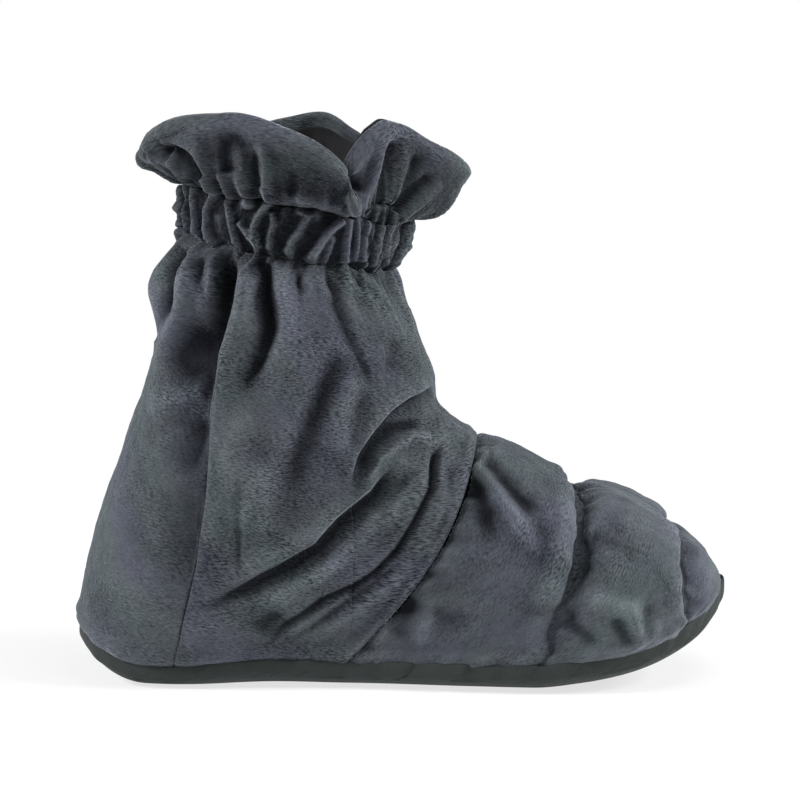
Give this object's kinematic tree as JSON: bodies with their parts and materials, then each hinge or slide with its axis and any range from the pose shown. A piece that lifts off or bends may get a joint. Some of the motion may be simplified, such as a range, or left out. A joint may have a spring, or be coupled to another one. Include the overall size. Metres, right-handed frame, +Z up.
{
  "type": "heat slipper",
  "caption": "Plush ankle bootie with grain-filled quilted channels over the forefoot, a gathered elastic casing and a flared ruffle, on a taped cloth sole, to be warmed before wear.",
  "frame": {"origin": "centre of the bounding box in plan, at the underside of the sole", "axes": "+X from heel to toe, +Y to the slipper's left-hand side, +Z up"},
  "size_m": [0.2892, 0.1302, 0.2514],
  "materials": {
    "plush_fleece": "short dark grey pile",
    "black_lining": "smooth black lining cloth",
    "binding_tape": "woven grey tape",
    "outsole_cloth": "plain dark cloth",
    "elastic_web": "white woven elastic",
    "grain_pouch": "cotton pouch full of grain"
  },
  "bodies": {
    "foot": {"outsole": "outsole_cloth", "binding_tape": "binding_tape", "sole_heel_pack": "grain_pouch", "sole_arch_pack": "grain_pouch", "sole_ball_pack": "grain_pouch", "footbed": "black_lining", "heel_panel": "plush_fleece", "right_side_panel": "plush_fleece", "left_side_panel": "plush_fleece", "front_panel": "plush_fleece", "quilted_vamp": "plush_fleece", "instep_pack": "grain_pouch", "toe_pack": "grain_pouch", "toe_tip_pack": "grain_pouch", "vamp_lining": "black_lining", "shaft_lining": "black_lining"},
    "cuff": {"elastic_casing": "plush_fleece", "ankle_elastic": "elastic_web", "ruffle": "plush_fleece", "ruffle_lining": "black_lining"}
  },
  "joints": [
    {"name": "ankle_flex", "type": "hinge", "parent": "foot", "child": "cuff", "pos_m": [-0.045, 0, 0.12], "axis": [0, 1, 0], "range_deg": [-12, 18], "deforming": ["heel_panel", "right_side_panel", "left_side_panel", "front_panel", "shaft_lining"]}
  ]
}
